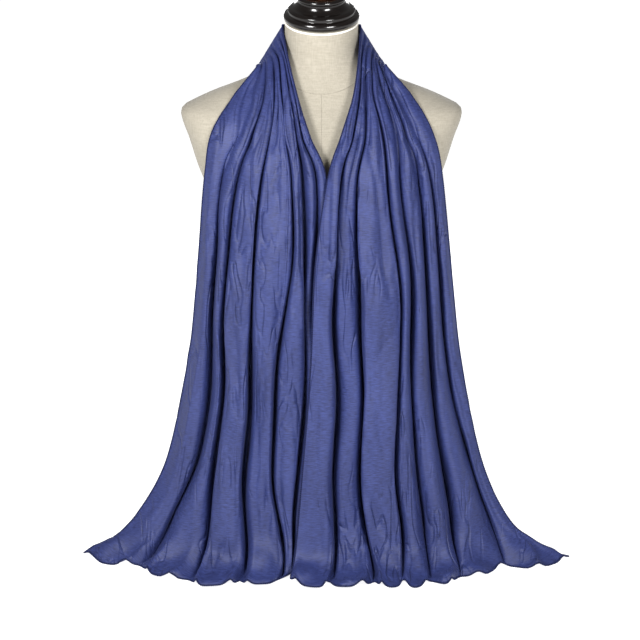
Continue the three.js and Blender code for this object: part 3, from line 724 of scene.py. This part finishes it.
def rippled(rows, acrossRun, alongRun):
    rows = rows.copy()
    length = alongRun[-1]
    strayBy, strayOver = hem["drift"]
    usual, varied, variedOver = hem["uneven"]
    lumpWide, lumpDeep = hem["lumpSize"]
    for fromHem, edge, seed in ((alongRun, 0, 1), (length - alongRun, -1, 2)):
        u = acrossRun[edge]
        level = np.full_like(u, 0.5)
        phase = 2 * math.pi * u / hem["wave"] + strayBy * smoothNoise(u / strayOver + 3, level, seed)
        high = usual + varied * smoothNoise(u / variedOver + 8, level, seed + 10)
        fade = np.exp(-((fromHem / hem["reach"]) ** 2))[:, None]
        wave = (0.5 + 0.5 * np.sin(phase)) ** hem["narrow"] * high
        low = np.clip((hem["low"][0] - rows[..., 2]) / hem["low"][1], 0, 1)
        rows[..., 2] += hem["ripple"] * fade * low * wave[None]
        rows[..., 1] -= hem["swing"] * fade * low * (np.cos(phase * 0.5) * high)[None]
        swell = smoothNoise(rows[..., 0] / lumpWide + 40, rows[..., 1] / lumpDeep + 60, seed + 20)
        lump = np.clip(swell, hem["lumpLeast"], 1)
        turned = np.clip(fromHem / hem["lumpFrom"], 0, 1) * np.exp(-((fromHem / hem["lumpReach"]) ** 2))
        turned = turned[:, None]
        rows[..., 2] += hem["lump"] * lump * turned * low * (rows[..., 2] > hem["lumpAbove"])
        rows[..., 1] -= hem["lumpForward"] * hem["lump"] * lump * turned * low
        corner = np.linalg.norm(rows - rows[edge, 0], axis=-1)
        tip = np.exp(-((corner / hem["curlReach"]) ** 2))
        rows[..., 2] += hem["curl"] * tip
        rows[..., 0] -= hem["curlOut"] * tip * np.sign(rows[edge, 0, 0])
    return rows


def clothShell(name, rows, uvs):
    normal = rowNormals(rows) * scarf["wall"] / 2
    r, c = rows.shape[:2]
    points = np.concatenate([(rows + normal).reshape(-1, 3), (rows - normal).reshape(-1, 3)])
    back = r * c
    faces = gridFaces(r, c) + gridFaces(r, c, back, flip=True)
    for k in range(r - 1):
        a, b = k * c, k * c + c - 1
        faces.append([a, a + c, back + a + c, back + a])
        faces.append([b, back + b, back + b + c, b + c])
    for k in range(c - 1):
        top = (r - 1) * c + k
        faces.append([k, back + k, back + k + 1, k + 1])
        faces.append([top, top + 1, back + top + 1, back + top])
    return meshPiece(name, points, faces, np.concatenate([uvs.reshape(-1, 2)] * 2))


def arcAcross(rows):
    steps = np.linalg.norm(np.diff(rows, axis=1), axis=-1)
    return np.concatenate([np.zeros((len(rows), 1)), np.cumsum(steps, axis=1)], axis=1)


# unevenness along each fold: how many rows a swell takes, its shift from fold to fold, its start and seed
foldSwells = {
    "gap": (15, 1.7, 4, 17),
    "flat": (24, 2.3, 9, 19),
    "crest": (20, 1.9, 2, 23),
}


def foldSwell(name, rowCount, foldCount):
    tall, shift, start, seed = foldSwells[name]
    return smoothNoise(rowCount / tall, foldCount * shift + start, seed)


lines, depths, gaps = foldLines()
places, stops = rowPlaces(lines), columnStops()
rowDepths, rowGaps = alongRows(depths, places), alongRows(gaps, places)
foldCount, rowCount = np.meshgrid(np.arange(len(rowGaps)), np.arange(len(places)), indexing="ij")
rowGaps *= 1.0 + scarf["gapUneven"] * foldSwell("gap", rowCount, foldCount)
rowFlats = scarf["flatFace"] * (1 + scarf["flatUneven"] * foldSwell("flat", rowCount, foldCount))
ways = alongRows(sinkWays().T, places).T
ways /= np.linalg.norm(ways, axis=1, keepdims=True)
knots = easedAt(lines, places)
(lowest, lowOver), (highest, highOver) = scarf["crestLow"], scarf["crestHigh"]
loose = np.clip((knots[..., 2] - lowest) / lowOver, 0, 1)
loose *= np.clip((highest - knots[..., 2]) / highOver, 0, 1)
loose[[0, -1]] *= scarf["crestAtEdges"]
standOut = scarf["crestUneven"] * loose * foldSwell("crest", rowCount, foldCount)
knots += ways * standOut[..., None]
rows = foldedThrough(knots, stops, rowDepths, rowGaps, rowFlats, ways)
middleRow = rows[:, list(scarf["measuredColumns"])].mean(axis=1)
alongRun = np.concatenate([[0], np.cumsum(np.linalg.norm(np.diff(middleRow, axis=0), axis=-1))])
rows = livelier(rows, depthGrid(rowDepths, stops))
rows = rippled(rows, arcAcross(rows), alongRun)
rows = keepOff(rows, scarf["wall"] / 2 + scarf["clearForm"])
alongCloth = np.linspace(0, scarf["cut"][1], len(rows))[:, None] + np.zeros(rows.shape[:2])
uvs = np.stack([arcAcross(rows) * mm, alongCloth], axis=-1)
scarfPiece = clothShell("scarf", rows, uvs)
print("scarf made", rows.shape, "of length", round(alongRun[-1]))


def tubeAlong(name, points, radius, closed=True, sides=3):
    curve = bpy.data.curves.new(name, "CURVE")
    curve.dimensions = "3D"
    curve.bevel_depth = radius * mm
    curve.bevel_resolution = sides
    curve.use_fill_caps = not closed
    spline = curve.splines.new("POLY")
    spline.points.add(len(points) - 1)
    flat = np.concatenate([np.asarray(points) * mm, np.ones((len(points), 1))], axis=1)
    spline.points.foreach_set("co", flat.ravel())
    spline.use_cyclic_u = closed
    holder = addObject(name + "Line", curve)
    mesh = bpy.data.meshes.new_from_object(holder.evaluated_get(bpy.context.evaluated_depsgraph_get()))
    bpy.data.objects.remove(holder)
    mesh.name = name
    mesh.polygons.foreach_set("use_smooth", [True] * len(mesh.polygons))
    return addObject(name, mesh)


def hemLine(rows):
    loop = np.concatenate([rows[0, :-1], rows[:-1, -1], rows[-1, :0:-1], rows[:0:-1, 0]])
    loop[:, 2] = np.maximum(loop[:, 2], hem["roll"] + hem["rollOff"])
    return loop


hemPath = hemLine(rows)
hemPiece = tubeAlong("rolledHem", hemPath, hem["roll"])
print("hem rolled", len(hemPath))


def ringPiece(name, rings):
    rings = np.asarray(rings)
    r, c = rings.shape[:2]
    points = np.concatenate([rings.reshape(-1, 3), rings[:1].mean(axis=1), rings[-1:].mean(axis=1)])
    faces = gridFaces(r, c, ring=True)
    for k in range(c):
        n = (k + 1) % c
        faces.append([r * c, n, k])
        faces.append([r * c + 1, (r - 1) * c + k, (r - 1) * c + n])
    return meshPiece(name, points, faces)


# points on the form's surface from their angles and heights
def onForm(angle, z):
    w, d, y, n = [sectionAt(z, k) for k in (1, 2, 3, 4)]
    size = (np.abs(np.cos(angle)) ** n + np.abs(np.sin(angle)) ** n) ** (-1 / n)
    return np.stack([w * size * np.cos(angle), y + d * size * np.sin(angle), z + 0 * angle], axis=-1)


def torsoRings(count=144):
    heights = np.concatenate([np.linspace(0, 6, 4), np.linspace(12, form["neckFrom"], 140)])
    angle = np.linspace(0, 2 * math.pi, count, endpoint=False)[None]
    rings = onForm(angle, heights[:, None])
    slope = math.tan(math.radians(form["neckTilt"]))
    start = form["neckFrom"]
    tops = []
    for share, inset in form["neckRings"]:
        radius = form["neckRadius"] - inset
        x, y = radius * np.cos(angle[0]), radius * np.sin(angle[0])
        top = form["neckTop"] + y * slope
        tops.append(np.stack([x, y, start + (top - start) * share], axis=-1))
    return np.concatenate([rings, np.array(tops)])


torsoPiece = ringPiece("torso", torsoRings())


def neckSeamLine(count=160):
    seam = form["neckSeam"]
    frontY, frontZ = seam["front"]
    angle = np.linspace(0, 2 * math.pi, count, endpoint=False)
    z = np.full(count, 680.0)
    for _ in range(30):
        x, y, _ = onForm(angle, z).T
        z = 0.6 * z + 0.4 * (frontZ + (y - frontY) * seam["rise"] + x * x * seam["lift"])
    return onForm(angle, z)


def frontSeamLine():
    seam = form["frontSeam"]
    z = np.linspace(seam["top"], seam["bottom"], 60)
    return onForm(np.full(60, -math.pi / 2), z)


def topEdgeLine(count=120):
    edge = form["topEdge"]
    angle = np.linspace(0, 2 * math.pi, count, endpoint=False)
    radius = form["neckRadius"] - edge["inset"]
    y = radius * np.sin(angle)
    z = form["neckTop"] - edge["below"] + y * math.tan(math.radians(form["neckTilt"]))
    return np.stack([radius * np.cos(angle), y, z], axis=-1)


neckSeam = tubeAlong("neckSeam", neckSeamLine(), form["neckSeam"]["thick"])
frontSeam = tubeAlong("frontSeam", frontSeamLine(), form["frontSeam"]["thick"], closed=False)
topEdge = tubeAlong("neckTopEdge", topEdgeLine(), form["topEdge"]["thick"])

# profiles of the turned pieces: radius, and height above the neck's top
cap = {
    "segments": 96,
    "cap": [(47, 0), (51, 2.5), (52, 6.5), (50, 10.5), (46.5, 12), (46, 16), (43.5, 18.5),
            (38, 20.5), (34, 25), (32.5, 30), (34, 32.5), (33, 35.5), (29, 37)],
    "collar": [(24, 37.3), (27, 38.5), (27.5, 41.5), (25.5, 44), (19, 45)],
    "knob": [(9, 45.3), (8.5, 47.5), (13, 49.5), (16.5, 54), (16.5, 59), (13, 63.5), (6, 66)],
}


def turnedPiece(name, profile):
    profile = np.array([(0.01, profile[0][1])] + list(profile) + [(0.01, profile[-1][1])], float)
    stops = np.linspace(0, len(profile) - 1, 6 * (len(profile) - 1) + 1)
    fine = roundedThrough(profile[:, None, :], stops)[0]
    angle = np.linspace(0, 2 * math.pi, cap["segments"], endpoint=False)[None]
    radius, z = fine[:, :1], fine[:, 1:2] + form["capSeat"] + 0 * angle
    rings = np.stack([radius * np.cos(angle), radius * np.sin(angle), z], axis=-1)
    lean = np.array(Matrix.Rotation(math.radians(form["neckTilt"]), 3, "X"))
    rings = rings @ lean.T + np.array([0, 0, form["neckTop"]])
    return ringPiece(name, rings)


capPiece = turnedPiece("neckCap", cap["cap"])
collarPiece = turnedPiece("capCollar", cap["collar"])
knobPiece = turnedPiece("capKnob", cap["knob"])
print("form made")


def addNode(tree, kind, settings=None, links=None):
    node = tree.nodes.new(kind)
    for key, value in (settings or {}).items():
        if key in node.inputs:
            node.inputs[key].default_value = value
        else:
            setattr(node, key, value)
    for key, source in (links or {}).items():
        tree.links.new(source, node.inputs[key])
    return node


def newMaterial(name):
    material = bpy.data.materials.new(name)
    material.use_nodes = True
    tree = material.node_tree
    tree.nodes.clear()
    return material, tree


def viscoseJersey():
    # knitted viscose: a soft satin sheen over a deep blue, with faint slubs that run across the cloth
    material, tree = newMaterial("viscoseJersey")
    uv = addNode(tree, "ShaderNodeUVMap", {"uv_map": "cloth"})
    # a slub is about 9 mm long and 1.4 mm thick, drawn a little coarser than the yarn so that it shows
    slubPlace = addNode(tree, "ShaderNodeMapping", {"Scale": (110, 700, 1)}, {"Vector": uv.outputs["UV"]})
    slub = addNode(tree, "ShaderNodeTexNoise", {"Scale": 1, "Detail": 3, "Roughness": 0.62},
                   {"Vector": slubPlace.outputs["Vector"]})
    # broad clouds of tone, about 40 mm wide and 110 mm tall
    cloudPlace = addNode(tree, "ShaderNodeMapping", {"Scale": (26, 9, 1)}, {"Vector": uv.outputs["UV"]})
    cloud = addNode(tree, "ShaderNodeTexNoise", {"Scale": 1, "Detail": 2},
                    {"Vector": cloudPlace.outputs["Vector"]})
    both = addNode(tree, "ShaderNodeMath", {"operation": "MULTIPLY_ADD"})
    tree.links.new(cloud.outputs["Fac"], both.inputs[0])
    both.inputs[1].default_value = 0.3
    tree.links.new(slub.outputs["Fac"], both.inputs[2])
    tint = addNode(tree, "ShaderNodeValToRGB", links={"Fac": both.outputs["Value"]})
    tint.color_ramp.elements[0].position, tint.color_ramp.elements[1].position = 0.44, 0.86
    tint.color_ramp.elements[0].color = fromHex("#171d42")
    tint.color_ramp.elements[1].color = fromHex("#303a6e")
    # fine crushed lines, about 2 cm apart and mostly down the cloth, where a broad noise lets them show
    spot = addNode(tree, "ShaderNodeTexCoord")
    linePlace = addNode(tree, "ShaderNodeMapping", {"Scale": (52, 20, 12), "Rotation": (0, 0.22, 0)},
                        {"Vector": spot.outputs["Object"]})
    lineNoise = addNode(tree, "ShaderNodeTexNoise", {"Scale": 1, "Detail": 1, "Distortion": 0.5},
                        {"Vector": linePlace.outputs["Vector"]})
    fromMiddle = addNode(tree, "ShaderNodeMath", {"operation": "SUBTRACT"})
    tree.links.new(lineNoise.outputs["Fac"], fromMiddle.inputs[0])
    fromMiddle.inputs[1].default_value = 0.5
    distance = addNode(tree, "ShaderNodeMath", {"operation": "ABSOLUTE"})
    tree.links.new(fromMiddle.outputs["Value"], distance.inputs[0])
    groove = addNode(tree, "ShaderNodeMapRange", {"From Max": 0.06, "To Min": -1.0, "To Max": 0.0},
                     {"Value": distance.outputs["Value"]})
    patchPlace = addNode(tree, "ShaderNodeMapping", {"Scale": (15, 6, 8)}, {"Vector": spot.outputs["Object"]})
    patch = addNode(tree, "ShaderNodeTexNoise", {"Scale": 1, "Detail": 1},
                    {"Vector": patchPlace.outputs["Vector"]})
    shown = addNode(tree, "ShaderNodeMapRange", {"From Min": 0.44, "From Max": 0.62},
                    {"Value": patch.outputs["Fac"]})
    crushed = addNode(tree, "ShaderNodeMath", {"operation": "MULTIPLY"})
    tree.links.new(groove.outputs["Result"], crushed.inputs[0])
    tree.links.new(shown.outputs["Result"], crushed.inputs[1])
    crush = addNode(tree, "ShaderNodeBump", {"Strength": 0.85, "Distance": 0.0024},
                    {"Height": crushed.outputs["Value"]})
    bump = addNode(tree, "ShaderNodeBump", {"Strength": 0.4, "Distance": 0.0007},
                   {"Height": slub.outputs["Fac"], "Normal": crush.outputs["Normal"]})
    shine = addNode(tree, "ShaderNodeMapRange", {"To Min": 0.46, "To Max": 0.66},
                    {"Value": slub.outputs["Fac"]})
    shader = addNode(
        tree,
        "ShaderNodeBsdfPrincipled",
        {"Sheen Weight": 0.08, "Sheen Roughness": 0.4, "Specular IOR Level": 0.34},
        {
            "Base Color": tint.outputs["Color"],
            "Normal": bump.outputs["Normal"],
            "Roughness": shine.outputs["Result"],
        },
    )
    shader.inputs["Sheen Tint"].default_value = fromHex("#8f97d6")
    addNode(tree, "ShaderNodeOutputMaterial", links={"Surface": shader.outputs["BSDF"]})
    return material


def hemThread(name, colour):
    # overlock thread: textured polyester, close to the cloth's colour but duller; the rolled edge also uses
    # it, with a darker colour that is painted shade
    material, tree = newMaterial(name)
    place = addNode(tree, "ShaderNodeTexCoord")
    fibre = addNode(tree, "ShaderNodeTexNoise", {"Scale": 900, "Detail": 2},
                    {"Vector": place.outputs["Object"]})
    tint = addNode(tree, "ShaderNodeValToRGB", links={"Fac": fibre.outputs["Fac"]})
    tint.color_ramp.elements[0].color = fromHex(colour[0])
    tint.color_ramp.elements[1].color = fromHex(colour[1])
    shader = addNode(tree, "ShaderNodeBsdfPrincipled", {"Roughness": 0.8, "Specular IOR Level": 0.12},
                     {"Base Color": tint.outputs["Color"]})
    addNode(tree, "ShaderNodeOutputMaterial", links={"Surface": shader.outputs["BSDF"]})
    return material


def ivoryLinen(name, colour, weaveDepth):
    # stretched linen cover: matte, warm white, with a fine crossed weave
    material, tree = newMaterial(name)
    place = addNode(tree, "ShaderNodeTexCoord")
    # threads 0.7 mm apart would vanish at this size, so they are drawn about 1.4 mm apart
    across = addNode(tree, "ShaderNodeMapping", {"Scale": (90, 90, 700)}, {"Vector": place.outputs["Object"]})
    upright = addNode(tree, "ShaderNodeMapping", {"Scale": (700, 700, 90)},
                      {"Vector": place.outputs["Object"]})
    weft = addNode(tree, "ShaderNodeTexNoise", {"Scale": 1, "Detail": 2},
                   {"Vector": across.outputs["Vector"]})
    warp = addNode(tree, "ShaderNodeTexNoise", {"Scale": 1, "Detail": 2},
                   {"Vector": upright.outputs["Vector"]})
    weave = addNode(tree, "ShaderNodeMath", {"operation": "ADD"})
    tree.links.new(weft.outputs["Fac"], weave.inputs[0])
    tree.links.new(warp.outputs["Fac"], weave.inputs[1])
    tint = addNode(tree, "ShaderNodeMapRange", {"From Min": 0.7, "From Max": 1.3},
                   {"Value": weave.outputs["Value"]})
    mix = addNode(tree, "ShaderNodeValToRGB", links={"Fac": tint.outputs["Result"]})
    mix.color_ramp.elements[0].color = fromHex(colour[0])
    mix.color_ramp.elements[1].color = fromHex(colour[1])
    bump = addNode(tree, "ShaderNodeBump", {"Strength": weaveDepth, "Distance": 0.0005},
                   {"Height": weave.outputs["Value"]})
    shader = addNode(
        tree,
        "ShaderNodeBsdfPrincipled",
        {"Roughness": 0.88, "Specular IOR Level": 0.25, "Sheen Weight": 0.1},
        {"Base Color": mix.outputs["Color"], "Normal": bump.outputs["Normal"]},
    )
    addNode(tree, "ShaderNodeOutputMaterial", links={"Surface": shader.outputs["BSDF"]})
    return material


def lacqueredHardwood(name, colour, roughness):
    # turned hardwood, stained nearly black and lacquered, so it mirrors the lights softly
    material, tree = newMaterial(name)
    place = addNode(tree, "ShaderNodeTexCoord")
    # grain about 3 mm thick and 17 mm long
    grainPlace = addNode(tree, "ShaderNodeMapping", {"Scale": (60, 60, 300)},
                         {"Vector": place.outputs["Object"]})
    grain = addNode(tree, "ShaderNodeTexNoise", {"Scale": 1, "Detail": 4},
                    {"Vector": grainPlace.outputs["Vector"]})
    tint = addNode(tree, "ShaderNodeValToRGB", links={"Fac": grain.outputs["Fac"]})
    tint.color_ramp.elements[0].color = fromHex(colour[0])
    tint.color_ramp.elements[1].color = fromHex(colour[1])
    shader = addNode(
        tree,
        "ShaderNodeBsdfPrincipled",
        {"Roughness": roughness, "Specular IOR Level": 0.3, "Coat Weight": 0.3, "Coat Roughness": 0.06},
        {"Base Color": tint.outputs["Color"]},
    )
    addNode(tree, "ShaderNodeOutputMaterial", links={"Surface": shader.outputs["BSDF"]})
    return material


# rings of overlock thread round the rolled edge, made with Geometry Nodes
def addStitches(path, material):
    stitch = hem["stitch"]
    tree = bpy.data.node_groups.new("overlockStitches", "GeometryNodeTree")
    face = tree.interface
    face.new_socket("Geometry", in_out="INPUT", socket_type="NodeSocketGeometry")
    face.new_socket("Geometry", in_out="OUTPUT", socket_type="NodeSocketGeometry")
    sizes = {
        "Spacing": stitch["spacing"] * mm,
        "Thread": stitch["thread"] * mm,
        "Round": (hem["roll"] + stitch["clear"]) * mm,
    }
    sockets = {}
    for label, value in sizes.items():
        socket = face.new_socket(label, in_out="INPUT", socket_type="NodeSocketFloat")
        socket.default_value = value
        sockets[label] = socket.identifier
    inside, outside = addNode(tree, "NodeGroupInput"), addNode(tree, "NodeGroupOutput")
    line = addNode(tree, "GeometryNodeMeshToCurve", links={"Mesh": inside.outputs["Geometry"]})
    points = addNode(tree, "GeometryNodeCurveToPoints", {"mode": "LENGTH"},
                     {"Curve": line.outputs["Curve"], "Length": inside.outputs["Spacing"]})
    loop = addNode(tree, "GeometryNodeCurvePrimitiveCircle", {"Resolution": 7},
                   {"Radius": inside.outputs["Round"]})
    thread = addNode(tree, "GeometryNodeCurvePrimitiveCircle", {"Resolution": 3},
                     {"Radius": inside.outputs["Thread"]})
    ring = addNode(tree, "GeometryNodeCurveToMesh",
                   links={"Curve": loop.outputs["Curve"], "Profile Curve": thread.outputs["Curve"]})
    turned = addNode(tree, "GeometryNodeTransform", {"Rotation": (math.radians(stitch["lean"]), 0, 0)},
                     {"Geometry": ring.outputs["Mesh"]})
    placed = addNode(tree, "GeometryNodeInstanceOnPoints", links={
        "Points": points.outputs["Points"],
        "Instance": turned.outputs["Geometry"],
        "Rotation": points.outputs["Rotation"],
    })
    real = addNode(tree, "GeometryNodeRealizeInstances", links={"Geometry": placed.outputs["Instances"]})
    finish = addNode(tree, "GeometryNodeSetMaterial", {"Material": material},
                     {"Geometry": real.outputs["Geometry"]})
    tree.links.new(finish.outputs["Geometry"], outside.inputs["Geometry"])

    guide = bpy.data.meshes.new("hemGuide")
    count = len(path)
    guide.from_pydata((path * mm).tolist(), [(i, (i + 1) % count) for i in range(count)], [])
    holder = addObject("hemGuide", guide)
    modifier = holder.modifiers.new("stitches", "NODES")
    modifier.node_group = tree
    for label, value in sizes.items():
        modifier[sockets[label]] = value
    mesh = bpy.data.meshes.new_from_object(holder.evaluated_get(bpy.context.evaluated_depsgraph_get()))
    holder.modifiers.remove(modifier)
    bpy.data.objects.remove(holder)
    mesh.name = "hemStitches"
    return addObject("hemStitches", mesh)


jersey = viscoseJersey()
# the rolled edge's near-black colours are painted shade: they stand for the shade along the rolled hem
edgeClothPaintedShade = hemThread("rolledEdgePaintedShade", ("#0c1028", "#1a1f40"))
thread = hemThread("overlockThread", ("#1c2246", "#2f3768"))
linen = ivoryLinen("ivoryLinen", ("#8a8477", "#989285"), 0.16)
seamCloth = ivoryLinen("seamLinen", ("#827c70", "#908a7d"), 0.16)
edgeLining = ivoryLinen("topEdgeLining", ("#e2ded4", "#f0ede6"), 0.1)
lacqueredWood = lacqueredHardwood("lacqueredWood", ("#060404", "#100b09"), 0.18)
brownRing = lacqueredHardwood("brownCollarRing", ("#4a2c1a", "#8a5a38"), 0.22)
stitchPiece = addStitches(hemPath, thread)
finishes = (
    (scarfPiece, jersey),
    (hemPiece, edgeClothPaintedShade),
    (torsoPiece, linen),
    (neckSeam, seamCloth),
    (frontSeam, seamCloth),
    (topEdge, edgeLining),
    (capPiece, lacqueredWood),
    (collarPiece, brownRing),
    (knobPiece, lacqueredWood),
)
for piece, material in finishes:
    piece.data.materials.append(material)
print("materials and stitches made", len(stitchPiece.data.polygons))


def addStage():
    mesh = bpy.data.meshes.new("table")
    size = 45.0  # metres, so that its edge stays out of sight
    corners = [(-size, -size, 0), (size, -size, 0), (size, size, 0), (-size, size, 0)]
    mesh.from_pydata(corners, [], [(0, 1, 2, 3)])
    floor = addObject("table", mesh)
    material, tree = newMaterial("whiteTable")
    shader = addNode(tree, "ShaderNodeBsdfPrincipled", {
        "Base Color": fromHex("#c4c4c4"),
        "Roughness": 0.9,
        "Emission Color": fromHex("#ffffff"),  # its own light keeps it as white as the background
        "Emission Strength": 0.93,
    })
    addNode(tree, "ShaderNodeOutputMaterial", links={"Surface": shader.outputs["BSDF"]})
    mesh.materials.append(material)


lights = {  # places and sizes in metres, power in watts
    "surround": 0.2,
    "softboxes": {
        "chestSoftbox": {
            "place": (-0.85, -1.35, 1.25),
            "aim": (0, 0, 0.58),
            "size": (0.45, 0.4),
            "power": 39,
        },
        "frontSoftbox": {
            "place": (0.8, -1.7, 1.15),
            "aim": (0, 0, 0.58),
            "size": (0.6, 0.3),
            "power": 38,
        },
        "rearSoftbox": {
            "place": (0, 2.4, 0.9),
            "aim": (0, 0, 0.45),
            "size": (0.9, 0.9),
            "power": 24,
        },
    },
}


def addSoftbox(name, values):
    light = bpy.data.lights.new(name, "AREA")
    light.shape = "RECTANGLE"
    light.size, light.size_y = values["size"]
    light.energy = values["power"]
    holder = addObject(name, light)
    holder.location = values["place"]
    back = Vector(values["place"]) - Vector(values["aim"])
    holder.rotation_euler = back.to_track_quat("Z", "Y").to_euler()


def addSurround():
    world = bpy.data.worlds.new("studio")
    world.use_nodes = True
    background = world.node_tree.nodes["Background"]
    background.inputs["Color"].default_value = (1, 1, 1, 1)
    background.inputs["Strength"].default_value = lights["surround"]
    bpy.context.scene.world = world


bpy.context.scene.view_settings.view_transform = "Standard"
addStage()
for name, values in lights["softboxes"].items():
    addSoftbox(name, values)
addSurround()
print("lights placed")

clothPieces = (scarfPiece, hemPiece, stitchPiece)
linenPieces = (torsoPiece, neckSeam, frontSeam, topEdge)
for piece in clothPieces + linenPieces + (capPiece, collarPiece, knobPiece):
    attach(piece, "root")
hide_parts("scarf_front_left", "scarf_neck_stretch", "scarf_front_right")
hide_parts("form_torso")
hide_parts("form_neck_cap")
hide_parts("form_cap_collar")
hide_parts("form_cap_knob")
